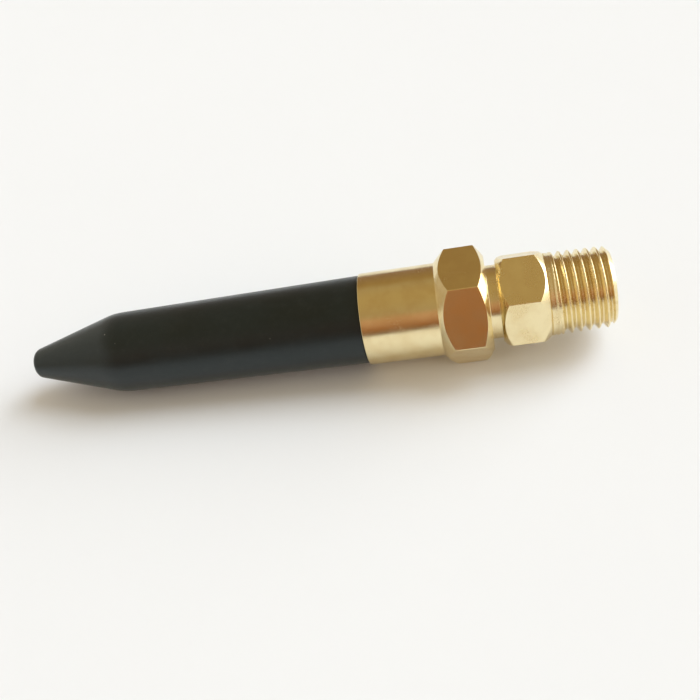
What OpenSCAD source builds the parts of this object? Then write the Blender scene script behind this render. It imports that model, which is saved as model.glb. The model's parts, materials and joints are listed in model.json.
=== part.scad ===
// Tilt-valve filling nozzle. The nozzle lies along X: the pipe thread points to +X and the soft
// rubber nose to -X, with one flat of the large hexagon down. All sizes are in millimetres, and
// the origin is on the axis where the threaded shank meets the small hexagon.

/* [Inlet thread] */
// Outside diameter over the thread crests
thread_d = 13.2; // [12.8:0.1:13.6]
// Distance between two crests, 18 to the inch
thread_pitch = 1.411; // [1.3:0.001:1.5]
// Number of grooves between the crests
thread_turns = 6; // [5:1:6]
// Length of the threaded shank, from the small hexagon to its end face
shank_l = 10.2; // [10.2:0.1:13]
// Diameter of the inlet bore
inlet_bore_d = 5.9; // [4:0.1:6.4]

/* [Hexagons] */
// Small hexagon, across its flats
small_af = 14; // [14:0.1:15]
// Length of the small hexagon
small_l = 7.7; // [7:0.1:9]
// Roll of the small hexagon against the large one, in degrees
small_roll = 22.5; // [0:0.5:60]
// Open gap between the two hexagons
neck_gap = 1.7; // [1.2:0.1:2.5]
// Large hexagon, across its flats
large_af = 17; // [17:0.1:19]
// Length of the large hexagon
large_l = 8.1; // [8:0.1:10]

/* [Sleeve] */
// Outside diameter of the thin sleeve that grips the rubber
sleeve_d = 15.3; // [15.2:0.1:15.6]
// Length of the sleeve beyond the large hexagon
sleeve_l = 12.4; // [12:0.1:14]
// Wall of the sleeve
sleeve_wall = 0.35; // [0.3:0.05:0.4]

/* [Rubber nozzle] */
// Diameter of the rubber barrel at the sleeve
barrel_d = 14.7; // [14.5:0.1:14.9]
// Diameter of the rubber barrel where the cone starts
shoulder_d = 13.8; // [13:0.1:14.5]
// Length of the barrel outside the sleeve
barrel_l = 43.3; // [38:0.1:50]
// Length of the cone
cone_l = 15.9; // [12:0.1:20]
// Diameter of the blunt tip
tip_d = 4.6; // [4:0.1:6]
// Diameter of the outlet hole
outlet_d = 1.8; // [1.2:0.1:2]

/* [Valve] */
// Diameter of the stem that the nose pushes aside
stem_d = 2.5; // [2:0.1:2.6]
// Diameter of the valve opening in the web
orifice_d = 6.8; // [6.4:0.1:7]
// Diameter of the poppet disc
disc_d = 9.2; // [9:0.1:9.4]
// Wire of the return spring
spring_wire = 0.7; // [0.5:0.05:0.8]
// Coils of the return spring
spring_turns = 5; // [4:1:6]

/* [Hidden] */

$fn = 96;
slack = 0.05;      // clearance between pieces that fit into each other
cut = 1;           // how far a cutter runs past the face it opens

brass = "#c9a548";
rubber_black = "#1d2022";
steel = "#b9bdc1";
fibre_red = "#8c3c2c";
seal_grey = "#3b3d40";

// Stations along X, from the inlet face to the tip
small_x = -small_l;
large_x1 = small_x - neck_gap;
large_x0 = large_x1 - large_l;
rim_x = large_x0 - sleeve_l;
shoulder_x = rim_x - barrel_l;
tip_x = shoulder_x - cone_l;

// Threads
thread_depth = 0.85;
crest_land = 0.3;
end_chamfer = 0.8;
inlet_chamfer = 0.4;
neck_d = 13.8;
neck_pitch = 1;
neck_depth = 0.55;
neck_turns = 4;
relief_d = 12;
relief_l = 2.2;

// Hexagon chamfers: the end face's circle as a share of the flats, and the axial depth of the
// chamfer at the nose end and at the inlet end
small_face = 0.945;
small_chamfers = [1.25, 1.6];
large_face = 0.905;
large_chamfers = [2, 1.45];

// Inside of the body, measured from its inlet face
socket_depth = 6.6;
socket_x = large_x1 - socket_depth;
socket_chamfer = 0.5;
gasket_l = 0.6;
gasket_gap = 0.1;
adapter_x = socket_x + gasket_l;
web_l = 2.8;
web_x = socket_x - web_l;
lip_l = 0.5;
lip_wall = 0.6;
seat_x = socket_x + lip_l;
chamber_d = 10.4;
chamber_x = -4;
sleeve_bore_d = sleeve_d - 2 * sleeve_wall;
rim_chamfer = 0.15;

// Poppet stack, from the seat towards the inlet
collar_d = 5.2;
collar_l = 0.6;
washer_l = 1.2;
disc_l = 1.2;
nut_af = 4.5;
nut_l = 1.6;
stem_tail = 0.5;
washer_d = disc_d - 0.2;
disc_x = seat_x + washer_l;
spring_x = disc_x + disc_l;
nut_x = spring_x + nut_l;
stem_reach = 22;   // how far the stem goes into the barrel beyond the sleeve
stem_end_x = rim_x - stem_reach;

// Ferrule inside the rubber's root
flange_l = 0.6;
ferrule_d = 9.6;
ferrule_bore_d = 7.6;
barb_h = 0.35;
barb_l = 3;
barb_count = 3;
barb_peak = 0.35;  // where a barb is highest, as a share of its length
ferrule_x = web_x - flange_l - barb_count * barb_l;

// Inside of the rubber: the wide bore lets the stem swing, the guide holds its end
guide_d = 3.8;
guide_half = 2;
guide_x = stem_end_x + guide_half;
guide_end_x = stem_end_x - guide_half;
funnel_l = 4;
tip_round = 1.2;
tip_steps = 6;
barrel_step = 0.1;

// Spring
spring_d = 7.6;
spring_sides = 8;
spring_steps = 20;

// A ring-grooved crest line, walking towards +X from x_start: crest land, root, next crest.
function groove_points(x_start, count, pitch, crest_r, depth, land) =
    [for (i = [0:count - 1]) each [
        [crest_r, x_start + i * pitch + land],
        [crest_r - depth, x_start + i * pitch + (pitch + land) / 2],
        [crest_r, x_start + (i + 1) * pitch]
    ]];

// Quarter round at the tip, from the cone to the end face.
function tip_arc() =
    [for (i = [0:tip_steps]) let (a = 90 * i / tip_steps)
        [tip_d / 2 - tip_round + tip_round * cos(a), tip_x + tip_round - tip_round * sin(a)]];

// Ferrule outline with its barbs, walking towards -X; extra widens it into the rubber's bore.
function barb_points(extra) =
    [for (i = [0:barb_count - 1]) each [
        [ferrule_d / 2 + extra, web_x - flange_l - i * barb_l],
        [ferrule_d / 2 + barb_h + extra, web_x - flange_l - (i + barb_peak) * barb_l],
        [ferrule_d / 2 + extra, web_x - flange_l - (i + 1) * barb_l]
    ]];

// A piece turned about the axis from [radius, x] points.
module turned(points) {
    rotate([0, 90, 0]) rotate_extrude() polygon(points);
}

// A round rod along the axis.
module rod(d, x0, x1) {
    translate([x0, 0, 0]) rotate([0, 90, 0]) cylinder(d = d, h = x1 - x0);
}

// A hexagon whose ends are chamfered by a cone, from the face's circle out to the corners.
module chamfered_hex(af, x0, x1, face_share, chamfers, roll = 0) {
    face_r = face_share * af / 2;
    corner_r = af / 2 / cos(30);
    intersection() {
        translate([x0, 0, 0]) rotate([roll, 0, 0]) rotate([0, 90, 0]) rotate([0, 0, 30])
            cylinder(r = corner_r, h = x1 - x0, $fn = 6);
        turned([[0, x0], [face_r, x0], [corner_r, x0 + chamfers[0]], [corner_r, x1 - chamfers[1]],
                [face_r, x1], [0, x1]]);
    }
}

module inlet_adapter() {
    thread_r = thread_d / 2;
    neck_r = neck_d / 2;
    bore_r = inlet_bore_d / 2;
    thread_x = shank_l - end_chamfer - crest_land - thread_turns * thread_pitch;
    neck_x = small_x - relief_l;
    neck_thread_x = neck_x - neck_turns * neck_pitch;
    color(brass) difference() {
        union() {
            chamfered_hex(small_af, small_x, 0, small_face, small_chamfers, small_roll);
            turned(concat(
                [[0, adapter_x], [neck_r - neck_depth, adapter_x], [neck_r, neck_thread_x]],
                groove_points(neck_thread_x, neck_turns, neck_pitch, neck_r, neck_depth, crest_land),
                [[relief_d / 2, neck_x], [relief_d / 2, small_x + cut], [thread_r, -cut]],
                groove_points(thread_x, thread_turns, thread_pitch, thread_r, thread_depth, crest_land),
                [[thread_r, shank_l - end_chamfer], [thread_r - end_chamfer, shank_l], [0, shank_l]]));
        }
        rod(inlet_bore_d, chamber_x - cut, shank_l + cut);
        rod(chamber_d, adapter_x - cut, chamber_x);
        turned([[0, shank_l - inlet_chamfer], [bore_r, shank_l - inlet_chamfer],
                [bore_r + inlet_chamfer, shank_l], [bore_r + inlet_chamfer, shank_l + cut],
                [0, shank_l + cut]]);
    }
}

module body_gasket() {
    color(fibre_red) difference() {
        rod(neck_d - 2 * gasket_gap, socket_x, adapter_x);
        rod(chamber_d + 2 * gasket_gap, socket_x - cut, adapter_x + cut);
    }
}

module valve_body() {
    socket_d = neck_d + 2 * slack;
    color(brass) difference() {
        union() {
            chamfered_hex(large_af, large_x0, large_x1, large_face, large_chamfers);
            turned([[0, rim_x], [sleeve_d / 2 - rim_chamfer, rim_x],
                    [sleeve_d / 2, rim_x + rim_chamfer],
                    [sleeve_d / 2, large_x0 + cut], [0, large_x0 + cut]]);
        }
        // threaded socket, with the seat lip standing up from its floor
        difference() {
            rod(socket_d, socket_x, large_x1 + cut);
            rod(orifice_d + 2 * lip_wall, socket_x - cut, seat_x);
        }
        turned([[0, large_x1 - socket_chamfer], [socket_d / 2, large_x1 - socket_chamfer],
                [socket_d / 2 + socket_chamfer, large_x1],
                [socket_d / 2 + socket_chamfer, large_x1 + cut], [0, large_x1 + cut]]);
        rod(orifice_d, web_x - cut, seat_x + cut);
        rod(sleeve_bore_d, rim_x - cut, web_x);
    }
}

module support_ferrule() {
    color(brass) difference() {
        turned(concat([[0, web_x], [sleeve_bore_d / 2 - slack, web_x],
                       [sleeve_bore_d / 2 - slack, web_x - flange_l]],
                      barb_points(0), [[0, ferrule_x]]));
        rod(ferrule_bore_d, ferrule_x - cut, web_x + cut);
    }
}

module rubber_nozzle() {
    root_x = web_x - flange_l - slack;
    root_r = sleeve_bore_d / 2 - slack;
    color(rubber_black) difference() {
        turned(concat([[0, root_x], [root_r, root_x], [root_r, rim_x],
                       [barrel_d / 2 - barrel_step, rim_x - slack],
                       [barrel_d / 2, rim_x - slack - barrel_step], [shoulder_d / 2, shoulder_x]],
                      tip_arc(), [[0, tip_x]]));
        turned(concat([[0, root_x + cut], [ferrule_d / 2 + slack, root_x + cut]],
                      barb_points(slack),
                      [[ferrule_d / 2 + slack, ferrule_x - slack],
                       [ferrule_bore_d / 2, ferrule_x - slack],
                       [ferrule_bore_d / 2, guide_x + funnel_l], [guide_d / 2, guide_x],
                       [guide_d / 2, guide_end_x], [outlet_d / 2, guide_end_x - funnel_l],
                       [0, guide_end_x - funnel_l]]));
        rod(outlet_d, tip_x - cut, guide_end_x);
    }
}

module valve_stem() {
    color(steel) {
        rod(stem_d, stem_end_x + stem_d / 2, nut_x + stem_tail);
        translate([stem_end_x + stem_d / 2, 0, 0]) sphere(d = stem_d);
        rod(collar_d, seat_x - collar_l, seat_x);
    }
}

module seat_washer() {
    color(seal_grey) difference() {
        rod(washer_d, seat_x, disc_x);
        rod(stem_d + 2 * slack, seat_x - cut, disc_x + cut);
    }
}

module poppet_disc() {
    color(brass) difference() {
        rod(disc_d, disc_x, spring_x);
        rod(stem_d + 2 * slack, disc_x - cut, spring_x + cut);
    }
}

module stem_nut() {
    color(steel) difference() {
        translate([spring_x, 0, 0]) rotate([0, 90, 0])
            cylinder(r = nut_af / 2 / cos(30), h = nut_l, $fn = 6);
        rod(stem_d + 2 * slack, spring_x - cut, nut_x + cut);
    }
}

module return_spring() {
    free_l = chamber_x - spring_x - spring_wire - 2 * slack;
    last = spring_turns * spring_steps;
    ring = [for (k = [0:last]) let (a = 360 * k / spring_steps,
                                    x = spring_x + slack + spring_wire / 2 + free_l * k / last)
        for (j = [0:spring_sides - 1]) let (b = 360 * j / spring_sides,
                                            r = spring_d / 2 + spring_wire / 2 * cos(b))
            [x + spring_wire / 2 * sin(b), r * cos(a), r * sin(a)]];
    side_faces = [for (k = [0:last - 1]) for (j = [0:spring_sides - 1])
        let (n = (j + 1) % spring_sides, p = k * spring_sides, q = p + spring_sides)
            [p + j, p + n, q + n, q + j]];
    start_face = [for (j = [spring_sides - 1:-1:0]) j];
    end_face = [for (j = [0:spring_sides - 1]) last * spring_sides + j];
    color(steel) polyhedron(ring, concat(side_faces, [start_face, end_face]));
}

inlet_adapter();
body_gasket();
valve_body();
support_ferrule();
rubber_nozzle();
valve_stem();
seat_washer();
poppet_disc();
stem_nut();
return_spring();
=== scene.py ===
import json
from math import atan2, cos, pi, radians, sin, sqrt

import bmesh
import bpy
from bpy.props import FloatProperty, FloatVectorProperty, IntProperty, PointerProperty
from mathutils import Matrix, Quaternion, Vector, noise


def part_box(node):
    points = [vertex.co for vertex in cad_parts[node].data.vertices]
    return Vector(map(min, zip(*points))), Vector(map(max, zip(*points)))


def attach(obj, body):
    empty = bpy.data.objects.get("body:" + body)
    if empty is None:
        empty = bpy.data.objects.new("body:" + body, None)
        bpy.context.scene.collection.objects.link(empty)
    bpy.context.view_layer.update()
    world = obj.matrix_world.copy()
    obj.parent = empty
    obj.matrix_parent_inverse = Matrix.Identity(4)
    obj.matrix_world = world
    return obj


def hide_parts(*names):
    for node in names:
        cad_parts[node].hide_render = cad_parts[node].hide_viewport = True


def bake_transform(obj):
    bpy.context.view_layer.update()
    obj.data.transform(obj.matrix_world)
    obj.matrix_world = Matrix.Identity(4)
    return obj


bl_info = {
    "name": "Tilt Valve Filling Nozzle",
    "version": (1, 0, 0),
    "blender": (4, 5, 0),
    "location": "View3D > Sidebar > Nozzle",
    "description": "Builds the brass fitting, the rubber nose and the valve inside them",
    "category": "Object",
}

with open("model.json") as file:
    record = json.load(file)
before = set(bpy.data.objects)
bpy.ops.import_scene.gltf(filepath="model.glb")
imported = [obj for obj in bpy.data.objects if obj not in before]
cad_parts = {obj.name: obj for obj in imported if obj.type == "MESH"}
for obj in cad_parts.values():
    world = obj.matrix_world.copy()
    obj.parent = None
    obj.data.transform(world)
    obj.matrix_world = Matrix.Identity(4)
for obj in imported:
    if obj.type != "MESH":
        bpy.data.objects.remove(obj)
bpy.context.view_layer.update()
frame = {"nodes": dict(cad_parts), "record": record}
MM = 0.001


def mount(name):
    """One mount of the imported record."""
    return next(m for m in frame["record"]["mounts"] if m["name"] == name)


ADAPTER_LOW, ADAPTER_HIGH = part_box("inlet_adapter")
BODY_LOW, BODY_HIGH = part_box("valve_body")
NOSE_LOW, NOSE_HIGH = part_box("rubber_nozzle")
SPRING_LOW, SPRING_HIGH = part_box("return_spring")
FERRULE_LOW, FERRULE_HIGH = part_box("support_ferrule")
GASKET_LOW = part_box("body_gasket")[0]
STEM_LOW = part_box("valve_stem")[0]

SHANK_END = ADAPTER_HIGH.x
RIM = BODY_LOW.x
BODY_FACE = BODY_HIGH.x
LARGE_FLATS = BODY_HIGH.z - BODY_LOW.z
FLOOR_LEVEL = BODY_LOW.z
INLET_BORE = mount("inlet_bore")["dims"]["r_mm"] * MM
OUTLET_BORE = mount("outlet_bore")["dims"]["r_mm"] * MM


def length(name, text, default):
    """A size property, in metres."""
    return FloatProperty(name=name, description=text, default=default, min=0, unit="LENGTH", precision=5)


def colour(name, text, default):
    """A colour property, in linear RGB."""
    return FloatVectorProperty(name=name, description=text, default=default, min=0, max=1,
                               size=3, subtype="COLOR")


class NozzleSizes(bpy.types.PropertyGroup):
    """Sizes of the shapes that the CAD leaves plain."""

    small_flats: length("Small hexagon", "Across the flats of the small hexagon", 14 * MM)
    small_length: length("Small hexagon length", "Length of the small hexagon", 7.7 * MM)
    small_roll: FloatProperty(name="Hexagon roll", description="Roll of the small hexagon against the large",
                              default=radians(22.5), subtype="ANGLE")
    large_length: length("Large hexagon length", "Length of the large hexagon", 8.1 * MM)
    small_nose_chamfer: length("Small chamfer, nose end", "Small hexagon's chamfer at its corners",
                               1.25 * MM)
    small_inlet_chamfer: length("Small chamfer, inlet end", "Small hexagon's chamfer at its corners",
                                1.6 * MM)
    small_face: FloatProperty(name="Small face", default=0.945, min=0.8, max=1,
                              description="Small hexagon's end face as a share of its flats")
    large_nose_chamfer: length("Large chamfer, nose end", "Large hexagon's chamfer at its corners",
                               2.0 * MM)
    large_inlet_chamfer: length("Large chamfer, inlet end", "Large hexagon's chamfer at its corners",
                                1.45 * MM)
    large_face: FloatProperty(name="Large face", default=0.905, min=0.8, max=1,
                              description="Large hexagon's end face as a share of its flats")
    hex_edge: length("Edge round", "Radius that handling has worn on a hexagon's edges", 0.14 * MM)
    thread_pitch: length("Pitch", "Distance between two crests of the pipe thread", 1.411 * MM)
    thread_depth: length("Depth", "Depth of the pipe thread", 0.74 * MM)
    thread_start: length("Thread start", "Plain shank before the thread", 1.0 * MM)
    waist_depth: length("Waist depth", "Depth of the shallow waist in the plain shank", 0.14 * MM)
    waist_place: length("Waist place", "From the small hexagon to the bottom of the waist", 0.7 * MM)
    end_chamfer: length("End chamfer", "Chamfer at the inlet's end face", 0.85 * MM)
    thread_small: length("Thread radius at its end", "Crest radius at the end face", 6.5 * MM)
    thread_large: length("Thread radius at the shank", "Crest radius where the thread runs out", 6.75 * MM)
    neck_pitch: length("Neck pitch", "Pitch of the fine thread between the two bodies", 1.0 * MM)
    neck_depth: length("Neck depth", "Depth of the fine thread", 0.55 * MM)
    neck_radius: length("Neck radius", "Crest radius of the fine thread", 6.9 * MM)
    relief_radius: length("Relief radius", "Radius of the groove behind the small hexagon", 6.0 * MM)
    relief_length: length("Relief length", "Length of the groove behind the small hexagon", 2.2 * MM)
    sleeve_radius: length("Sleeve radius", "Outer radius of the sleeve", 7.65 * MM)
    sleeve_wall: length("Sleeve wall", "Wall of the sleeve", 0.35 * MM)
    shoulder_radius: length("Shoulder radius", "Radius of the rubber where its cone starts", 6.9 * MM)
    cone_length: length("Cone length", "Length of the rubber's cone", 15.9 * MM)
    tip_radius: length("Tip radius", "Radius of the rubber's blunt tip", 2.35 * MM)
    columns_per_face: IntProperty(name="Columns", description="Mesh columns on one face of a hexagon",
                                  default=32, min=12, max=64)


class NozzleColours(bpy.types.PropertyGroup):
    """Colours of the finishes."""

    brass: colour("Brass", "Fresh brass", (0.89, 0.77, 0.47))
    old_brass: colour("Old brass", "Brass that has been handled", (0.76, 0.59, 0.30))
    rubber: colour("Rubber", "Moulded rubber", (0.0012, 0.0050, 0.0060))
    dust: colour("Dust", "Dust on the rubber", (0.32, 0.31, 0.29))
    steel: colour("Steel", "Stainless steel", (0.60, 0.60, 0.61))
    fibre: colour("Fibre", "Pressed fibre", (0.25, 0.05, 0.03))
    floor: colour("Floor", "Pale table top", (0.84, 0.865, 0.90))


class NozzleStage(bpy.types.PropertyGroup):
    """Camera and lights."""

    aim: FloatVectorProperty(name="Aim", description="Point that the camera looks at", size=3,
                             default=(-32.5 * MM, -6.6 * MM, 0), subtype="XYZ", unit="LENGTH")
    distance: length("Distance", "From the camera to its aim", 143.4 * MM)
    azimuth: FloatProperty(name="Azimuth", description="Camera's turn about +Z", default=radians(12.5),
                           subtype="ANGLE")
    elevation: FloatProperty(name="Elevation", description="Camera's height over the horizon",
                             default=radians(45.6), subtype="ANGLE")
    roll: FloatProperty(name="Roll", description="Camera's roll about its line of sight",
                        default=radians(-16.5), subtype="ANGLE")
    lens: FloatProperty(name="Lens", description="Focal length in millimetres", default=45.4, min=10)
    sky: FloatProperty(name="Sky", description="Strength of the soft daylight from above", default=1.27,
                       min=0)
    ceiling: FloatProperty(name="Ceiling", description="Strength of the light from the whole ceiling",
                           default=0.28, min=0)
    window: FloatProperty(name="Window", description="Brightness of the low window on the right",
                          default=5.0, min=0)
    room: FloatProperty(name="Room", description="Brightness of the room around the table", default=1.0,
                        min=0)


# ---------------------------------------------------------------- mesh helpers

class Ring:
    """One ring of a turned piece: a place along the axis and a radius for each column."""

    def __init__(self, xs, radii, wear):
        self.xs, self.radii, self.wear = xs, radii, wear


def plain_ring(angles, x, radius, wear=0.0):
    """A round ring."""
    n = len(angles)
    return Ring([x] * n, [radius] * n, [wear] * n)


def rounded(points, steps=4):
    """An outline of (x, radius, fillet) corners as (x, radius) points, rounded and with a guard beside each
    round, so that the shading of the straight stretches stays flat."""
    line = []
    for i, (x, r, fillet) in enumerate(points):
        here = Vector((x, r))
        if not fillet or i in (0, len(points) - 1):
            line.append((x, r))
            continue
        before = Vector(points[i - 1][:2]) - here
        after = Vector(points[i + 1][:2]) - here
        reach = min(fillet, before.length * 0.4, after.length * 0.4)
        guard = reach + min(0.06 * MM, 0.2 * reach)
        start, end = here + before.normalized() * reach, here + after.normalized() * reach
        line.append(tuple(here + before.normalized() * guard))
        for k in range(steps + 1):
            t = k / steps
            line.append(tuple(start.lerp(here, t).lerp(here.lerp(end, t), t)))
        line.append(tuple(here + after.normalized() * guard))
    return line


def rings_of(angles, line, wear=0.0):
    """Round rings along an outline of (x, radius) points."""
    return [plain_ring(angles, x, r, wear) for x, r in line]


def split_long(line, step):
    """The same outline with no stretch longer than step."""
    result = [line[0]]
    for (x0, r0), (x1, r1) in zip(line, line[1:]):
        parts = max(1, int(sqrt((x1 - x0) ** 2 + (r1 - r0) ** 2) / step + 0.999))
        result += [(x0 + (x1 - x0) * k / parts, r0 + (r1 - r0) * k / parts) for k in range(1, parts + 1)]
    return result


def turned_piece(name, angles, rings, material, sharp_angle=radians(28)):
    """A closed ring-shaped mesh about X from rings that go once round its section."""
    mesh = bpy.data.meshes.new(name)
    bm = bmesh.new()
    wear = bm.verts.layers.float.new("wear")
    grid = []
    for ring in rings:
        row = []
        for a, x, r, w in zip(angles, ring.xs, ring.radii, ring.wear):
            vert = bm.verts.new((x, r * cos(a), r * sin(a)))
            vert[wear] = w
            row.append(vert)
        grid.append(row)
    for row, after in zip(grid, grid[1:] + grid[:1]):
        for i in range(len(angles)):
            j = (i + 1) % len(angles)
            bm.faces.new((row[i], row[j], after[j], after[i]))
    bmesh.ops.remove_doubles(bm, verts=bm.verts, dist=1e-7)
    bmesh.ops.recalc_face_normals(bm, faces=bm.faces)
    bm.to_mesh(mesh)
    bm.free()
    mesh.shade_smooth()
    mesh.set_sharp_from_angle(angle=sharp_angle)
    mesh.materials.append(material)
    piece = bpy.data.objects.new(name, mesh)
    bpy.context.scene.collection.objects.link(piece)
    return piece


def even_angles(count):
    """Angles all round, evenly."""
    return [2 * pi * i / count for i in range(count)]


def corner_reach(flats, edge):
    """Angle from a hexagon's corner to where its edge round meets the flat."""
    centre = (flats / 2 - edge) / cos(pi / 6)
    return Vector((centre + edge * cos(pi / 6), edge * sin(pi / 6))).angle(Vector((1, 0)))


def hex_angles(flats, edge, roll, per_face):
    """Angles of the mesh columns round a hexagon, crowded at its corners."""
    reach, per_corner = corner_reach(flats, edge), 6
    steps = [-reach + 2 * reach * k / per_corner for k in range(per_corner)]
    guard = 2 * reach
    flat_count = per_face - per_corner - 2
    flat = [reach, guard] + [guard + (pi / 3 - 2 * guard) * (k + 1) / flat_count for k in range(flat_count)]
    return [roll + pi / 3 * side + a for side in range(6) for a in steps + flat]


def hex_radius(angle, flats, edge, roll):
    """Radius of a hexagon with rounded corners, and whether the point is on a corner round."""
    off = (angle - roll + pi / 6) % (pi / 3) - pi / 6
    centre = (flats / 2 - edge) / cos(pi / 6)
    if abs(off) <= corner_reach(flats, edge) * 1.001:
        return centre * cos(off) + sqrt(max(0, edge ** 2 - (centre * sin(off)) ** 2)), 1.0
    return flats / 2 / cos(pi / 6 - abs(off)), 0.0


def hex_rings(angles, flats, edge, roll, x0, x1, chamfers, face_share):
    """Rings of a chamfered hexagon from x0 to x1, whose edge curves are true cuts of a cone and a prism."""
    face = face_share * flats / 2
    corner = flats / 2 / cos(pi / 6)
    found = [hex_radius(a, flats, edge, roll) for a in angles]
    radii, tip = [r for r, _ in found], [c for _, c in found]
    guard, soft = 0.35 * MM, 0.07 * MM
    n = len(angles)
    sides = []
    for chamfer in chamfers:
        slope = (corner - face) / chamfer
        meets = [chamfer * (r - face) / (corner - face) for r in radii]
        sides.append([
            ([0.0] * n, [face] * n, [0.6] * n),
            ([m - soft for m in meets], [r - soft * slope for r in radii], [0.5] * n),
            (meets, [r - 0.18 * soft for r in radii], [1.0] * n),
            ([m + soft for m in meets], radii, [max(0.5, t) for t in tip]),
            ([m + guard for m in meets], radii, tip),
            ([max(m + guard, (x1 - x0) * 0.3) for m in meets], radii, tip)])
    rings = [Ring([x0 + t for t in ts], rs, ws) for ts, rs, ws in sides[0]]
    rings += [Ring([x1 - t for t in ts], rs, ws) for ts, rs, ws in reversed(sides[1])]
    return rings


def smooth(low, high, value):
    """0 below low, 1 above high, and an even curve between them."""
    t = min(1.0, max(0.0, (value - low) / (high - low)))
    return t * t * (3 - 2 * t)


def groove_share(away, half_pitch, land, root):
    """Share of a thread's depth at a distance from its crest's middle, with its corners rounded."""
    t, round_off = (away - land) / (half_pitch - root - land), 0.16
    if t < 0.5:
        return max(0.0, t + round_off) ** 2 / (4 * round_off) if t < round_off else t
    return 1 - groove_share(2 * land + (half_pitch - root - land) - away, half_pitch, land, root)


def thread_rings(angles, x0, x1, pitch, depth, crest, limit, per_pitch, fade_in, fade_out, start=0.0,
                 burr=0.0):
    """Rings of a right-handed thread. crest(x) is its outer radius and limit(x) the radius of the end
    chamfers; fades are lengths of shallow thread, and burr is how far the crests are torn."""
    count = int((x1 - x0) / pitch * per_pitch + 0.5)
    land, root = 0.07 * pitch, 0.09 * pitch
    rings = []
    for k in range(count + 1):
        x = x0 + (x1 - x0) * k / count
        share = smooth(x0, x0 + fade_in, x) if fade_in else 1.0
        share *= smooth(x1, x1 - fade_out, x) if fade_out else 1.0
        radii, wears = [], []
        for a in angles:
            turn = (x - start) / pitch - a / (2 * pi)
            away = abs(turn - round(turn)) * pitch
            cut = groove_share(away, pitch / 2, land, root)
            torn = noise.noise(Vector((round(turn) * 9, a * 11 + round(turn) * 2 * pi * 11, 3.0)))
            radii.append(min(crest(x) - depth * cut * share + burr * torn * (1 - cut), limit(x)))
            wears.append(1 - cut)
        rings.append(Ring([x] * len(angles), radii, wears))
    return rings


# ------------------------------------------------------------ material helpers

def add_node(tree, kind, inputs=None, **settings):
    """A shader node with its settings and input values."""
    node = tree.nodes.new(kind)
    for key, value in settings.items():
        setattr(node, key, value)
    for key, value in (inputs or {}).items():
        if isinstance(value, bpy.types.NodeSocket):
            tree.links.new(value, node.inputs[key])
        else:
            node.inputs[key].default_value = value
    return node


def math_node(tree, operation, a, b=0.0, c=0.0):
    """Output of a Math node."""
    return add_node(tree, "ShaderNodeMath", {0: a, 1: b, 2: c}, operation=operation).outputs[0]


def mix_colour(tree, share, a, b):
    """Output of a colour Mix node."""
    node = add_node(tree, "ShaderNodeMix", data_type="RGBA")
    for socket, value in ((node.inputs[0], share), (node.inputs[6], a), (node.inputs[7], b)):
        if isinstance(value, bpy.types.NodeSocket):
            tree.links.new(value, socket)
        else:
            socket.default_value = value
    return node.outputs[2]


def ramp_node(tree, value, low, high):
    """value stretched so that low is 0 and high is 1, clamped."""
    node = add_node(tree, "ShaderNodeMapRange", {0: value, 1: low, 2: high, 3: 0.0, 4: 1.0},
                    interpolation_type="SMOOTHSTEP")
    return node.outputs[0]


def new_group(name, inputs, outputs):
    """An empty shader node group with its sockets, and its two end nodes."""
    tree = bpy.data.node_groups.new(name, "ShaderNodeTree")
    for title, kind, value in inputs:
        socket = tree.interface.new_socket(title, in_out="INPUT", socket_type=kind)
        socket.default_value = value
    for title, kind in outputs:
        tree.interface.new_socket(title, in_out="OUTPUT", socket_type=kind)
    start, end = tree.nodes.new("NodeGroupInput"), tree.nodes.new("NodeGroupOutput")
    return tree, start, end


def use_group(tree, name, inputs=None):
    """A node that places one of the groups."""
    node = tree.nodes.new("ShaderNodeGroup")
    node.node_tree = bpy.data.node_groups[name]
    for key, value in (inputs or {}).items():
        if isinstance(value, bpy.types.NodeSocket):
            tree.links.new(value, node.inputs[key])
        else:
            node.inputs[key].default_value = value
    return node


FLOAT = "NodeSocketFloat"


def stretched_place(tree, scale):
    """The piece's own coordinates in units of 1 / scale along X, Y and Z."""
    place = add_node(tree, "ShaderNodeTexCoord").outputs["Object"]
    return add_node(tree, "ShaderNodeVectorMath", {0: place, 1: scale}, operation="MULTIPLY").outputs[0]


def lathe_marks_group():
    """Fine rings that a turning tool leaves round the axis."""
    tree, start, end = new_group("Lathe marks", [("Spacing", FLOAT, 0.12)], [("Height", FLOAT)])
    place = add_node(tree, "ShaderNodeTexCoord").outputs["Object"]
    x = add_node(tree, "ShaderNodeSeparateXYZ", {0: place}).outputs[0]
    per_metre = math_node(tree, "DIVIDE", 1000.0, start.outputs["Spacing"])
    along = math_node(tree, "MULTIPLY", x, per_metre)
    fine = add_node(tree, "ShaderNodeTexNoise", {"W": along, "Scale": 1.0, "Detail": 2.0},
                    noise_dimensions="1D")
    broad = add_node(tree, "ShaderNodeTexNoise",
                     {"W": math_node(tree, "MULTIPLY", along, 0.11), "Scale": 1.0, "Detail": 1.0},
                     noise_dimensions="1D")
    height = math_node(tree, "MULTIPLY", fine.outputs[0], broad.outputs[0])
    tree.links.new(height, end.inputs["Height"])


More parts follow.
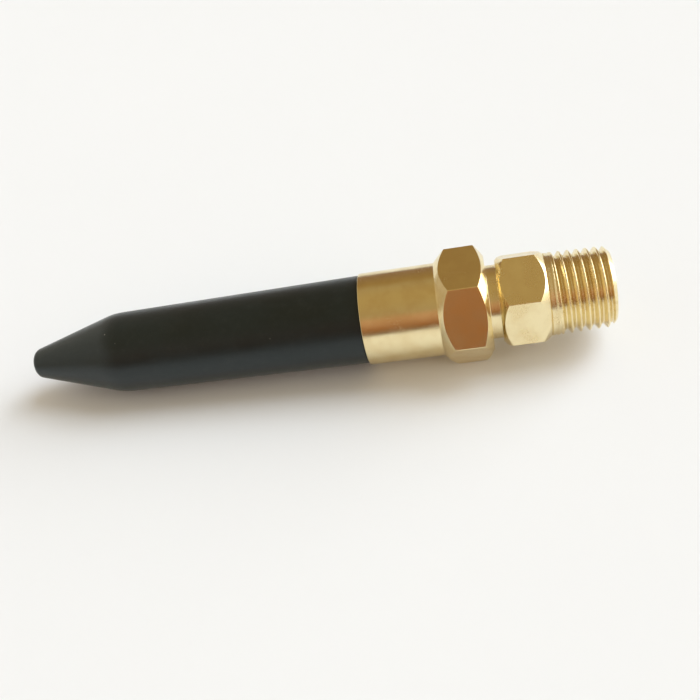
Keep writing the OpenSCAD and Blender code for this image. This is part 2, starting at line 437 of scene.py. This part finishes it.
def scratches_group():
    """Sparse fine scratches in three directions."""
    tree, start, end = new_group("Scratches", [("Amount", FLOAT, 0.5)], [("Mask", FLOAT)])
    masks = []
    for stretch in ((900, 5200, 1400), (4800, 700, 1900), (2100, 2600, 9000)):
        cells = add_node(tree, "ShaderNodeTexNoise", {"Vector": stretched_place(tree, stretch),
                                                      "Scale": 0.55, "Detail": 3.0, "Roughness": 0.6})
        ridge = math_node(tree, "ABSOLUTE", math_node(tree, "SUBTRACT", cells.outputs[0], 0.5))
        masks.append(math_node(tree, "SUBTRACT", 1.0, ramp_node(tree, ridge, 0.0, 0.012)))
    lines = math_node(tree, "MAXIMUM", math_node(tree, "MAXIMUM", masks[0], masks[1]), masks[2])
    patch = add_node(tree, "ShaderNodeTexNoise", {"Vector": stretched_place(tree, (260, 260, 260)),
                                                  "Scale": 1.0, "Detail": 2.0})
    there = ramp_node(tree, patch.outputs[0], 0.48, 0.68)
    shown = math_node(tree, "MULTIPLY", math_node(tree, "MULTIPLY", lines, there), start.outputs["Amount"])
    tree.links.new(shown, end.inputs["Mask"])


def dents_group():
    """Small round pits and knocks, most of them on the side that has lain against other metal."""
    tree, start, end = new_group("Dents", [("Size", FLOAT, 0.5), ("Cover", FLOAT, 0.3)], [("Mask", FLOAT)])
    per_metre = math_node(tree, "DIVIDE", 1000.0, start.outputs["Size"])
    place = add_node(tree, "ShaderNodeTexCoord").outputs["Object"]
    cells = add_node(tree, "ShaderNodeTexVoronoi", {"Vector": place, "Scale": per_metre})
    pit = math_node(tree, "SUBTRACT", 1.0, ramp_node(tree, cells.outputs["Distance"], 0.05, 0.28))
    pick = add_node(tree, "ShaderNodeSeparateColor", {0: cells.outputs["Color"]}).outputs[0]
    kept = math_node(tree, "LESS_THAN", pick, start.outputs["Cover"])
    y = add_node(tree, "ShaderNodeSeparateXYZ", {0: place}).outputs[1]
    lain_on = math_node(tree, "MULTIPLY_ADD", ramp_node(tree, y, -0.003, -0.0065), 0.85, 0.15)
    shown = math_node(tree, "MULTIPLY", math_node(tree, "MULTIPLY", pit, kept), lain_on)
    tree.links.new(shown, end.inputs["Mask"])


def handling_group():
    """Broad uneven tone, as handled metal or rubber has."""
    tree, start, end = new_group("Handling", [("Size", FLOAT, 6.0)], [("Mask", FLOAT), ("Fine", FLOAT)])
    per_metre = math_node(tree, "DIVIDE", 1000.0, start.outputs["Size"])
    place = add_node(tree, "ShaderNodeTexCoord").outputs["Object"]
    broad = add_node(tree, "ShaderNodeTexNoise", {"Vector": place, "Scale": per_metre, "Detail": 4.0})
    fine = add_node(tree, "ShaderNodeTexNoise", {"Vector": place, "Detail": 3.0,
                                                 "Scale": math_node(tree, "MULTIPLY", per_metre, 14.0)})
    tree.links.new(ramp_node(tree, broad.outputs[0], 0.35, 0.65), end.inputs["Mask"])
    tree.links.new(fine.outputs[0], end.inputs["Fine"])


def edge_wear_group():
    """Bright worn edges, from the wear value that the mesh carries."""
    tree, start, end = new_group("Edge wear", [("Amount", FLOAT, 0.7)], [("Mask", FLOAT)])
    wear = add_node(tree, "ShaderNodeAttribute", attribute_name="wear").outputs["Fac"]
    place = add_node(tree, "ShaderNodeTexCoord").outputs["Object"]
    patch = add_node(tree, "ShaderNodeTexNoise", {"Vector": place, "Scale": 1400.0, "Detail": 3.0})
    uneven = ramp_node(tree, patch.outputs[0], 0.3, 0.62)
    worn = math_node(tree, "MULTIPLY", ramp_node(tree, wear, 0.35, 0.95), uneven)
    tree.links.new(math_node(tree, "MULTIPLY", worn, start.outputs["Amount"]), end.inputs["Mask"])


def dust_group():
    """Dust: rare bright specks and a faint even film."""
    tree, start, end = new_group("Dust", [("Specks", FLOAT, 0.06)], [("Specks", FLOAT), ("Film", FLOAT)])
    place = add_node(tree, "ShaderNodeTexCoord").outputs["Object"]
    cells = add_node(tree, "ShaderNodeTexVoronoi", {"Vector": place, "Scale": 520.0})
    dot = math_node(tree, "SUBTRACT", 1.0, ramp_node(tree, cells.outputs["Distance"], 0.05, 0.13))
    pick = add_node(tree, "ShaderNodeSeparateColor", {0: cells.outputs["Color"]}).outputs[1]
    kept = math_node(tree, "LESS_THAN", pick, start.outputs["Specks"])
    tree.links.new(math_node(tree, "MULTIPLY", dot, kept), end.inputs["Specks"])
    film = add_node(tree, "ShaderNodeTexNoise",
                    {"Vector": place, "Scale": 900.0, "Detail": 5.0, "Roughness": 0.7})
    tree.links.new(ramp_node(tree, film.outputs[0], 0.45, 0.8), end.inputs["Film"])


def make_groups():
    """The effects that the finishes share, each built once."""
    if "Lathe marks" in bpy.data.node_groups:
        return
    lathe_marks_group()
    scratches_group()
    dents_group()
    handling_group()
    edge_wear_group()
    dust_group()


def new_material(name, metallic, roughness):
    """A material with one Principled shader, and its node tree."""
    material = bpy.data.materials.new(name)
    material.use_nodes = True
    shader = material.node_tree.nodes["Principled BSDF"]
    shader.inputs["Metallic"].default_value = metallic
    shader.inputs["Roughness"].default_value = roughness
    return material, material.node_tree, shader


def opaque(colour_value):
    """A colour property as the four numbers of a socket."""
    return (*colour_value, 1.0)


def brass_material(name, roughness=0.2, marks=0.5, dents=0.25, scratches=0.6, spacing=0.12):
    """Turned or milled brass with handling, scratches, dents and bright worn edges."""
    if name in bpy.data.materials:
        return bpy.data.materials[name]
    make_groups()
    colours = bpy.context.scene.nozzle_colours
    material, tree, shader = new_material(name, 1.0, roughness)
    handled = use_group(tree, "Handling", {"Size": 3.6})
    lines = use_group(tree, "Lathe marks", {"Spacing": spacing})
    scored = use_group(tree, "Scratches", {"Amount": scratches})
    pits = use_group(tree, "Dents", {"Size": 0.45, "Cover": dents})
    edges = use_group(tree, "Edge wear", {"Amount": 0.6})
    tone = math_node(tree, "MULTIPLY", handled.outputs["Mask"], 0.5)
    base = mix_colour(tree, tone, opaque(colours.brass), opaque(colours.old_brass))
    base = mix_colour(tree, math_node(tree, "MULTIPLY", pits.outputs["Mask"], 0.35), base,
                      opaque(colours.old_brass))
    fresh = [min(1.0, c * 1.12) for c in colours.brass]
    base = mix_colour(tree, edges.outputs["Mask"], base, (*fresh, 1.0))
    tree.links.new(base, shader.inputs["Base Color"])
    rough = math_node(tree, "MULTIPLY_ADD", handled.outputs["Fine"], 0.12, roughness - 0.06)
    rough = math_node(tree, "MULTIPLY_ADD", handled.outputs["Mask"], 0.07, rough)
    rough = math_node(tree, "MULTIPLY_ADD", scored.outputs["Mask"], 0.1, rough)
    tree.links.new(rough, shader.inputs["Roughness"])
    height = math_node(tree, "MULTIPLY", lines.outputs["Height"], marks)
    height = math_node(tree, "MULTIPLY_ADD", scored.outputs["Mask"], -0.15, height)
    height = math_node(tree, "MULTIPLY_ADD", pits.outputs["Mask"], -0.5, height)
    height = math_node(tree, "MULTIPLY_ADD", handled.outputs["Fine"], 0.08, height)
    bump = add_node(tree, "ShaderNodeBump", {"Height": height, "Distance": 0.012 * MM, "Strength": 1.0})
    tree.links.new(bump.outputs[0], shader.inputs["Normal"])
    return material


def rubber_material(name, base_colour, dusty=True):
    """Matte moulded rubber with a fine grain, faint handling and dust."""
    if name in bpy.data.materials:
        return bpy.data.materials[name]
    make_groups()
    colours = bpy.context.scene.nozzle_colours
    material, tree, shader = new_material(name, 0.0, 0.5)
    shader.inputs["Specular IOR Level"].default_value = 0.58
    shader.inputs["Specular Tint"].default_value = (0.84, 0.90, 0.90, 1.0)
    shader.inputs["Sheen Weight"].default_value = 0.12
    shader.inputs["Sheen Roughness"].default_value = 0.4
    shader.inputs["Sheen Tint"].default_value = (0.8, 0.95, 1.0, 1.0)
    handled = use_group(tree, "Handling", {"Size": 9.0})
    dust = use_group(tree, "Dust", {"Specks": 0.11 if dusty else 0.0})
    scored = use_group(tree, "Scratches", {"Amount": 0.4})
    lighter = [min(1.0, c * 1.7) for c in base_colour]
    base = mix_colour(tree, math_node(tree, "MULTIPLY", handled.outputs["Mask"], 0.5),
                      opaque(base_colour), (*lighter, 1.0))
    film = math_node(tree, "MULTIPLY", dust.outputs["Film"], 0.018 if dusty else 0.0)
    base = mix_colour(tree, film, base, opaque(colours.dust))
    base = mix_colour(tree, math_node(tree, "MULTIPLY", scored.outputs["Mask"], 0.05), base,
                      opaque(colours.dust))
    base = mix_colour(tree, dust.outputs["Specks"], base, opaque(colours.dust))
    tree.links.new(base, shader.inputs["Base Color"])
    rough = math_node(tree, "MULTIPLY_ADD", handled.outputs["Fine"], 0.14, 0.27)
    rough = math_node(tree, "MULTIPLY_ADD", handled.outputs["Mask"], 0.06, rough)
    tree.links.new(rough, shader.inputs["Roughness"])
    place = add_node(tree, "ShaderNodeTexCoord").outputs["Object"]
    grain = add_node(tree, "ShaderNodeTexNoise", {"Vector": place, "Scale": 5200.0, "Detail": 3.0})
    height = math_node(tree, "MULTIPLY_ADD", dust.outputs["Specks"], 2.0, grain.outputs[0])
    bump = add_node(tree, "ShaderNodeBump", {"Height": height, "Distance": 0.010 * MM, "Strength": 0.8})
    tree.links.new(bump.outputs[0], shader.inputs["Normal"])
    return material


def steel_material(name, roughness=0.25, spacing=0.1):
    """Turned or drawn stainless steel."""
    if name in bpy.data.materials:
        return bpy.data.materials[name]
    make_groups()
    colours = bpy.context.scene.nozzle_colours
    material, tree, shader = new_material(name, 1.0, roughness)
    handled = use_group(tree, "Handling", {"Size": 2.0})
    lines = use_group(tree, "Lathe marks", {"Spacing": spacing})
    darker = [c * 0.75 for c in colours.steel]
    base = mix_colour(tree, handled.outputs["Mask"], opaque(colours.steel), (*darker, 1.0))
    tree.links.new(base, shader.inputs["Base Color"])
    rough = math_node(tree, "MULTIPLY_ADD", handled.outputs["Fine"], 0.15, roughness - 0.05)
    tree.links.new(rough, shader.inputs["Roughness"])
    bump = add_node(tree, "ShaderNodeBump", {"Height": lines.outputs["Height"], "Distance": 0.008 * MM})
    tree.links.new(bump.outputs[0], shader.inputs["Normal"])
    return material


def fibre_material(name):
    """Pressed fibre of a flat gasket."""
    if name in bpy.data.materials:
        return bpy.data.materials[name]
    make_groups()
    colours = bpy.context.scene.nozzle_colours
    material, tree, shader = new_material(name, 0.0, 0.8)
    handled = use_group(tree, "Handling", {"Size": 1.2})
    darker = [c * 0.5 for c in colours.fibre]
    base = mix_colour(tree, handled.outputs["Mask"], opaque(colours.fibre), (*darker, 1.0))
    tree.links.new(base, shader.inputs["Base Color"])
    bump = add_node(tree, "ShaderNodeBump", {"Height": handled.outputs["Fine"], "Distance": 0.03 * MM})
    tree.links.new(bump.outputs[0], shader.inputs["Normal"])
    return material


# ------------------------------------------------------------------- operators

class NOZZLE_OT_inlet_adapter(bpy.types.Operator):
    """Builds the adapter: tapered pipe thread, small hexagon, relief groove and fine-threaded neck"""

    bl_idname = "nozzle.inlet_adapter"
    bl_label = "Inlet adapter"

    def execute(self, context):
        s = context.scene.nozzle_sizes
        angles = hex_angles(s.small_flats, s.hex_edge, s.small_roll, s.columns_per_face)
        face = s.small_face * s.small_flats / 2
        hex_start, relief_start = -s.small_length, -s.small_length - s.relief_length
        neck_end = relief_start - 0.15 * MM
        end_radius = s.thread_small - s.end_chamfer

        def taper(x):
            """Crest radius of the pipe thread."""
            return s.thread_large + (s.thread_small - s.thread_large) * max(0, x) / SHANK_END

        def inlet_chamfer(x):
            """Radius of the chamfer at the inlet's end face."""
            return end_radius + (SHANK_END - x)

        def neck_chamfer(x):
            """Radius of the chamfer at the neck's free end."""
            return s.neck_radius - s.neck_depth + (x - ADAPTER_LOW.x)

        rings = rings_of(angles, [(ADAPTER_LOW.x, s.neck_radius - s.neck_depth)])
        rings += thread_rings(angles, ADAPTER_LOW.x + 0.02 * MM, neck_end, s.neck_pitch, s.neck_depth,
                              lambda x: s.neck_radius, neck_chamfer, 16, 0, 0.5 * MM)
        rings += rings_of(angles, rounded([
            (neck_end, s.neck_radius - 0.02 * MM, 0), (relief_start + 0.5 * MM, s.relief_radius, 0.25 * MM),
            (hex_start, s.relief_radius, 0.25 * MM), (hex_start, face - 0.1 * MM, 0)])[1:])
        rings += hex_rings(angles, s.small_flats, s.hex_edge, s.small_roll, hex_start, 0,
                           (s.small_nose_chamfer, s.small_inlet_chamfer), s.small_face)
        rings += rings_of(angles, rounded([
            (-0.02 * MM, face - 0.02 * MM, 0), (0.05 * MM, s.thread_large, 0.05 * MM),
            (s.waist_place, s.thread_large - s.waist_depth, 0.3 * MM),
            (s.thread_start, s.thread_large, 0)])[1:])
        rings += thread_rings(angles, s.thread_start + 0.05 * MM, SHANK_END - 0.02 * MM, s.thread_pitch,
                              s.thread_depth, taper, inlet_chamfer, 36, 0.7 * MM, 0, start=0.88 * MM,
                              burr=0.02 * MM)
        chamber = 5.2 * MM
        chamber_floor = mount("inlet_bore")["pos_m"][0] - mount("inlet_bore")["dims"]["length_mm"] * MM
        rings += rings_of(angles, rounded([
            (SHANK_END - 0.02 * MM, end_radius, 0), (SHANK_END, end_radius - 0.06 * MM, 0.05 * MM),
            (SHANK_END, INLET_BORE + 0.4 * MM, 0.05 * MM),
            (SHANK_END - 0.4 * MM, INLET_BORE, 0.1 * MM),
            (chamber_floor, INLET_BORE, 0.1 * MM), (chamber_floor, chamber, 0.3 * MM),
            (ADAPTER_LOW.x, chamber, 0.1 * MM), (ADAPTER_LOW.x, s.neck_radius - s.neck_depth - 0.1 * MM, 0),
        ])[1:])
        piece = turned_piece("inlet_adapter_brass", angles, rings,
                             brass_material("Adapter brass", roughness=0.2, marks=0.6, dents=0.6))
        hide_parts("inlet_adapter")
        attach(piece, "housing")
        return {"FINISHED"}


class NOZZLE_OT_valve_body(bpy.types.Operator):
    """Builds the body: large hexagon and the thin sleeve round the rubber"""

    bl_idname = "nozzle.valve_body"
    bl_label = "Valve body"

    def execute(self, context):
        s = context.scene.nozzle_sizes
        angles = hex_angles(LARGE_FLATS, s.hex_edge, 0.0, s.columns_per_face)
        face = s.large_face * LARGE_FLATS / 2
        hex_start = BODY_FACE - s.large_length
        bore = s.sleeve_radius - s.sleeve_wall
        socket, socket_floor = s.neck_radius + 0.05 * MM, GASKET_LOW.x
        lip, orifice, seat, web = 4.0 * MM, 3.4 * MM, GASKET_LOW.x + 0.5 * MM, FERRULE_HIGH.x
        outside = split_long(rounded([
            (RIM, bore + 0.1 * MM, 0), (RIM, s.sleeve_radius - 0.02 * MM, 0.16 * MM),
            (RIM + 0.5 * MM, s.sleeve_radius, 0), (hex_start - 0.05 * MM, s.sleeve_radius, 0.12 * MM),
            (hex_start, face - 0.05 * MM, 0)]), 1.0 * MM)
        rings = rings_of(angles, outside)
        rings += hex_rings(angles, LARGE_FLATS, s.hex_edge, 0.0, hex_start, BODY_FACE,
                           (s.large_nose_chamfer, s.large_inlet_chamfer), s.large_face)
        rings += rings_of(angles, rounded([
            (BODY_FACE, face - 0.05 * MM, 0), (BODY_FACE, socket + 0.5 * MM, 0.08 * MM),
            (BODY_FACE - 0.5 * MM, socket, 0.08 * MM), (socket_floor, socket, 0.2 * MM),
            (socket_floor, lip, 0.1 * MM), (seat, lip, 0.08 * MM), (seat, orifice, 0.08 * MM),
            (web, orifice, 0.1 * MM), (web, bore, 0.15 * MM), (RIM, bore, 0.06 * MM),
            (RIM, bore + 0.1 * MM, 0)])[:-1])
        piece = turned_piece("valve_body_brass", angles, rings,
                             brass_material("Body brass", roughness=0.16, marks=0.45, dents=0.18,
                                            scratches=0.5, spacing=0.16))
        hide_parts("valve_body")
        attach(piece, "housing")
        return {"FINISHED"}


class NOZZLE_OT_rubber_nose(bpy.types.Operator):
    """Builds the rubber: barrel, soft shoulder, cone, blunt tip with its outlet and the parting line"""

    bl_idname = "nozzle.rubber_nose"
    bl_label = "Rubber nose"

    def execute(self, context):
        s = context.scene.nozzle_sizes
        tip = NOSE_LOW.x
        shoulder = tip + s.cone_length
        barrel = NOSE_HIGH.z
        root = s.sleeve_radius - s.sleeve_wall - 0.05 * MM
        bore, guide = 3.8 * MM, 1.9 * MM
        ferrule_bore = 5.2 * MM
        outside = rounded([
            (NOSE_HIGH.x, ferrule_bore, 0), (NOSE_HIGH.x, root, 0.3 * MM), (RIM, root, 0.05 * MM),
            (RIM - 0.08 * MM, barrel - 0.12 * MM, 0.05 * MM), (RIM - 0.35 * MM, barrel, 0.25 * MM),
            (shoulder, s.shoulder_radius, 1.5 * MM), (tip + 0.6 * MM, s.tip_radius + 0.1 * MM, 0.6 * MM),
            (tip, s.tip_radius - 1.1 * MM, 0.25 * MM), (tip, OUTLET_BORE, 0.12 * MM),
            (tip + 1.0 * MM, OUTLET_BORE, 0)], steps=6)
        inside = rounded([
            (tip + 1.0 * MM, OUTLET_BORE, 0), (STEM_LOW.x - 6 * MM, OUTLET_BORE, 0.3 * MM),
            (STEM_LOW.x - 2 * MM, guide, 0.3 * MM), (STEM_LOW.x + 2 * MM, guide, 0.3 * MM),
            (STEM_LOW.x + 6 * MM, bore, 0.3 * MM), (FERRULE_LOW.x - 0.05 * MM, bore, 0.1 * MM),
            (FERRULE_LOW.x - 0.05 * MM, ferrule_bore, 0.1 * MM), (NOSE_HIGH.x, ferrule_bore, 0)])
        seams, flash = (radians(55), radians(235)), 0.025 * MM
        beside = [radians(d) for d in (-0.9, -0.45, 0, 0.45, 0.9)]
        angles = sorted({*even_angles(128), *(m + d for m in seams for d in beside)})
        rings = []
        for x, r in split_long(outside, 0.9 * MM) + split_long(inside, 2 * MM)[1:-1]:
            ring = plain_ring(angles, x, r)
            if x < RIM and r > OUTLET_BORE * 1.5 and (x, r) not in inside:
                for i, a in enumerate(angles):
                    off = min(abs(a - m) for m in seams)
                    ring.radii[i] += flash * (1 - smooth(radians(0.3), radians(0.8), off))
            rings.append(ring)
        piece = turned_piece("rubber_nose_moulded", angles, rings,
                             rubber_material("Nose rubber", context.scene.nozzle_colours.rubber),
                             sharp_angle=radians(50))
        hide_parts("rubber_nozzle")
        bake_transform(piece)
        return {"FINISHED"}


class NOZZLE_OT_return_spring(bpy.types.Operator):
    """Builds the coil spring between the adapter and the poppet"""

    bl_idname = "nozzle.return_spring"
    bl_label = "Return spring"

    def execute(self, context):
        wire = 0.35 * MM
        low, high = SPRING_LOW.x + wire, SPRING_HIGH.x - wire
        mean = SPRING_HIGH.z - wire
        turns, steps = 5, 40
        curve = bpy.data.curves.new("return_spring_wire", "CURVE")
        curve.dimensions = "3D"
        curve.bevel_depth = wire
        curve.bevel_resolution = 4
        curve.use_fill_caps = True
        spline = curve.splines.new("POLY")
        count = turns * steps
        spline.points.add(count)
        for k in range(count + 1):
            a = 2 * pi * k / steps
            spline.points[k].co = (low + (high - low) * k / count, mean * cos(a), mean * sin(a), 1)
        coil = bpy.data.objects.new("return_spring_curve", curve)
        bpy.context.scene.collection.objects.link(coil)
        bpy.context.view_layer.update()
        mesh = bpy.data.meshes.new_from_object(coil.evaluated_get(context.evaluated_depsgraph_get()))
        bpy.data.objects.remove(coil)
        mesh.name = "return_spring_wire"
        mesh.materials.clear()
        mesh.materials.append(steel_material("Spring steel", roughness=0.3, spacing=0.3))
        piece = bpy.data.objects.new("return_spring_wire", mesh)
        bpy.context.scene.collection.objects.link(piece)
        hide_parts("return_spring")
        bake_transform(piece)
        return {"FINISHED"}


class NOZZLE_OT_inner_parts(bpy.types.Operator):
    """Gives the pieces inside the nozzle their finishes"""

    bl_idname = "nozzle.inner_parts"
    bl_label = "Inner parts"

    def execute(self, context):
        colours = context.scene.nozzle_colours
        seal = [c * 2 for c in colours.rubber]
        finishes = {
            "support_ferrule": (brass_material("Inner brass", roughness=0.24), "inner_brass"),
            "poppet_disc": (brass_material("Inner brass"), "inner_brass"),
            "seat_washer": (rubber_material("Seal rubber", seal, dusty=False), "seal_rubber"),
            "body_gasket": (fibre_material("Gasket fibre"), "fibre"),
            "valve_stem": (steel_material("Stem steel"), "steel"),
            "stem_nut": (steel_material("Stem steel"), "steel"),
        }
        for node, (material, slot) in finishes.items():
            piece = frame["nodes"][node]
            piece.data.materials.clear()
            piece.data.materials.append(material)
        return {"FINISHED"}


class NOZZLE_OT_stage(bpy.types.Operator):
    """Sets up the pale table, the soft daylight, the room that the brass reflects and the camera"""

    bl_idname = "nozzle.stage"
    bl_label = "Stage"

    def execute(self, context):
        self.floor(context)
        self.lights(context)
        self.room(context)
        self.camera(context)
        context.scene.view_settings.view_transform = "Standard"
        return {"FINISHED"}

    def floor(self, context):
        """The table under the nozzle, which lies on its large hexagon and on the rubber's shoulder."""
        s = context.scene.nozzle_sizes
        heel = BODY_FACE - s.large_length + s.large_nose_chamfer
        shoulder = NOSE_LOW.x + s.cone_length
        mesh = bpy.data.meshes.new("table_top")
        bm = bmesh.new()
        bmesh.ops.create_grid(bm, x_segments=8, y_segments=8, size=1.5)
        bm.to_mesh(mesh)
        bm.free()
        material, tree, shader = new_material("Table top", 0.0, 0.8)
        shader.inputs["Specular IOR Level"].default_value = 0.0
        place = add_node(tree, "ShaderNodeTexCoord").outputs["Object"]
        mottle = add_node(tree, "ShaderNodeTexNoise", {"Vector": place, "Scale": 14.0, "Detail": 2.0})
        base = opaque(context.scene.nozzle_colours.floor)
        darker = tuple(c * 0.985 for c in base[:3]) + (1.0,)
        tree.links.new(mix_colour(tree, mottle.outputs[0], base, darker), shader.inputs["Base Color"])
        mesh.materials.append(material)
        floor = bpy.data.objects.new("table_top", mesh)
        floor.location = (heel, 0, FLOOR_LEVEL)
        floor.rotation_euler = (0, atan2(-s.shoulder_radius - FLOOR_LEVEL, heel - shoulder), 0)
        context.scene.collection.objects.link(floor)

    def lights(self, context):
        stage = context.scene.nozzle_stage
        self.daylight(context, "sky", stage.sky, 36, (0.76, 0.88, 1.0), towards=(0.52, 0.30, 0.76))
        self.daylight(context, "ceiling", stage.ceiling, 170, (0.62, 0.82, 1.0), towards=(-0.1, 0.0, 1.0))

    def daylight(self, context, name, strength, spread, tone, towards):
        """A sun of so many degrees' spread. The brass reflects the room instead of it."""
        light = bpy.data.lights.new(name, "SUN")
        light.energy, light.angle, light.color = strength, radians(spread), tone
        lamp = bpy.data.objects.new(name, light)
        lamp.visible_glossy = False
        lamp.rotation_mode = "QUATERNION"
        lamp.rotation_quaternion = (-Vector(towards)).to_track_quat("-Z", "Y")
        context.scene.collection.objects.link(lamp)

    def room(self, context):
        """The walls and the window, which the brass reflects. Seen directly, the room is plain and pale."""
        stage = context.scene.nozzle_stage
        window_towards, window_edge = (0.86, 0.36, 0.36), (0.885, 0.935)
        right_wall, seen_tone = (1.30, 1.22, 1.05, 1.0), (0.78, 0.80, 0.82, 1.0)
        world = bpy.data.worlds.new("room")
        world.use_nodes = True
        tree = world.node_tree
        sky = tree.nodes["Background"]
        direction = add_node(tree, "ShaderNodeTexCoord").outputs["Generated"]
        split = add_node(tree, "ShaderNodeSeparateXYZ", {0: direction})
        height = math_node(tree, "MULTIPLY_ADD", split.outputs[2], 0.5, 0.5)
        front = self.walls(tree, height, ((0.50, (0.20, 0.12, 0.07)), (0.55, (0.22, 0.14, 0.08)),
                                          (0.61, (0.31, 0.12, 0.038)), (0.72, (0.50, 0.28, 0.16)),
                                          (0.80, (0.55, 0.33, 0.19)), (0.87, (0.43, 0.33, 0.18)),
                                          (1.00, (0.45, 0.33, 0.15))))
        back = self.walls(tree, height, ((0.50, (0.25, 0.16, 0.12)), (0.68, (0.30, 0.20, 0.11)),
                                         (0.85, (0.33, 0.22, 0.085)), (0.93, (0.41, 0.31, 0.16)),
                                         (1.00, (0.45, 0.33, 0.15))))
        walls = mix_colour(tree, ramp_node(tree, split.outputs[1], -0.25, 0.25), front, back)
        left = ramp_node(tree, math_node(tree, "MULTIPLY", split.outputs[0], -1.0), 0.35, 0.75)
        side = self.walls(tree, height, ((0.50, (0.42, 0.32, 0.19)), (0.62, (0.60, 0.51, 0.37)),
                                         (0.75, (1.00, 0.95, 0.85)), (0.88, (0.70, 0.60, 0.42)),
                                         (1.00, (0.44, 0.33, 0.155))))
        walls = mix_colour(tree, left, walls, side)
        right = ramp_node(tree, split.outputs[0], 0.45, 0.8)
        walls = mix_colour(tree, right, walls, right_wall)
        facing = add_node(tree, "ShaderNodeVectorMath", {0: direction, 1: window_towards},
                          operation="DOT_PRODUCT").outputs["Value"]
        pane = ramp_node(tree, facing, *window_edge)
        glow = tuple(c * stage.window for c in (0.96, 0.98, 1.0)) + (1.0,)
        seen = add_node(tree, "ShaderNodeLightPath").outputs["Is Camera Ray"]
        light = mix_colour(tree, seen, mix_colour(tree, pane, walls, glow), seen_tone)
        tree.links.new(light, sky.inputs["Color"])
        sky.inputs["Strength"].default_value = stage.room
        context.scene.world = world

    def walls(self, tree, height, stops):
        """Tones from the floor's level, at 0.5, up to straight above, at 1."""
        ramp = add_node(tree, "ShaderNodeValToRGB", {0: height})
        elements = ramp.color_ramp.elements
        while len(elements) < len(stops):
            elements.new(0.5)
        for element, (place, tone) in zip(elements, stops):
            element.position, element.color = place, (*tone, 1.0)
        return ramp.outputs[0]

    def camera(self, context):
        stage = context.scene.nozzle_stage
        data = bpy.data.cameras.new("camera")
        data.lens = stage.lens
        data.clip_start, data.clip_end = 0.005, 20
        camera = bpy.data.objects.new("camera", data)
        a, e = stage.azimuth, stage.elevation
        back = Vector((sin(a) * cos(e), -cos(a) * cos(e), sin(e)))
        camera.location = Vector(stage.aim) + back * stage.distance
        camera.rotation_mode = "QUATERNION"
        camera.rotation_quaternion = (-back).to_track_quat("-Z", "Y") @ Quaternion((0, 0, 1), stage.roll)
        context.scene.collection.objects.link(camera)
        context.scene.camera = camera


class NOZZLE_PT_parts(bpy.types.Panel):
    """Lists the pieces of the nozzle and the stage"""

    bl_idname = "NOZZLE_PT_parts"
    bl_label = "Filling nozzle"
    bl_space_type = "VIEW_3D"
    bl_region_type = "UI"
    bl_category = "Nozzle"

    def draw(self, context):
        for operator in OPERATORS:
            self.layout.operator(operator.bl_idname)
        for group in ("nozzle_sizes", "nozzle_colours", "nozzle_stage"):
            box = self.layout.box()
            settings = getattr(context.scene, group)
            for name in settings.bl_rna.properties.keys():
                if name not in ("rna_type", "name"):
                    box.prop(settings, name)


OPERATORS = (NOZZLE_OT_inlet_adapter, NOZZLE_OT_valve_body, NOZZLE_OT_rubber_nose,
             NOZZLE_OT_return_spring, NOZZLE_OT_inner_parts, NOZZLE_OT_stage)
SETTINGS = {"nozzle_sizes": NozzleSizes, "nozzle_colours": NozzleColours, "nozzle_stage": NozzleStage}


def register():
    for cls in (*SETTINGS.values(), *OPERATORS, NOZZLE_PT_parts):
        bpy.utils.register_class(cls)
    for name, group in SETTINGS.items():
        setattr(bpy.types.Scene, name, PointerProperty(type=group))


def unregister():
    for name in SETTINGS:
        delattr(bpy.types.Scene, name)
    for cls in reversed((*SETTINGS.values(), *OPERATORS, NOZZLE_PT_parts)):
        bpy.utils.unregister_class(cls)


def main():
    register()
    bpy.ops.nozzle.inlet_adapter()
    bpy.ops.nozzle.valve_body()
    bpy.ops.nozzle.rubber_nose()
    bpy.ops.nozzle.return_spring()
    bpy.ops.nozzle.inner_parts()
    bpy.ops.nozzle.stage()


if __name__ == "__main__":
    main()
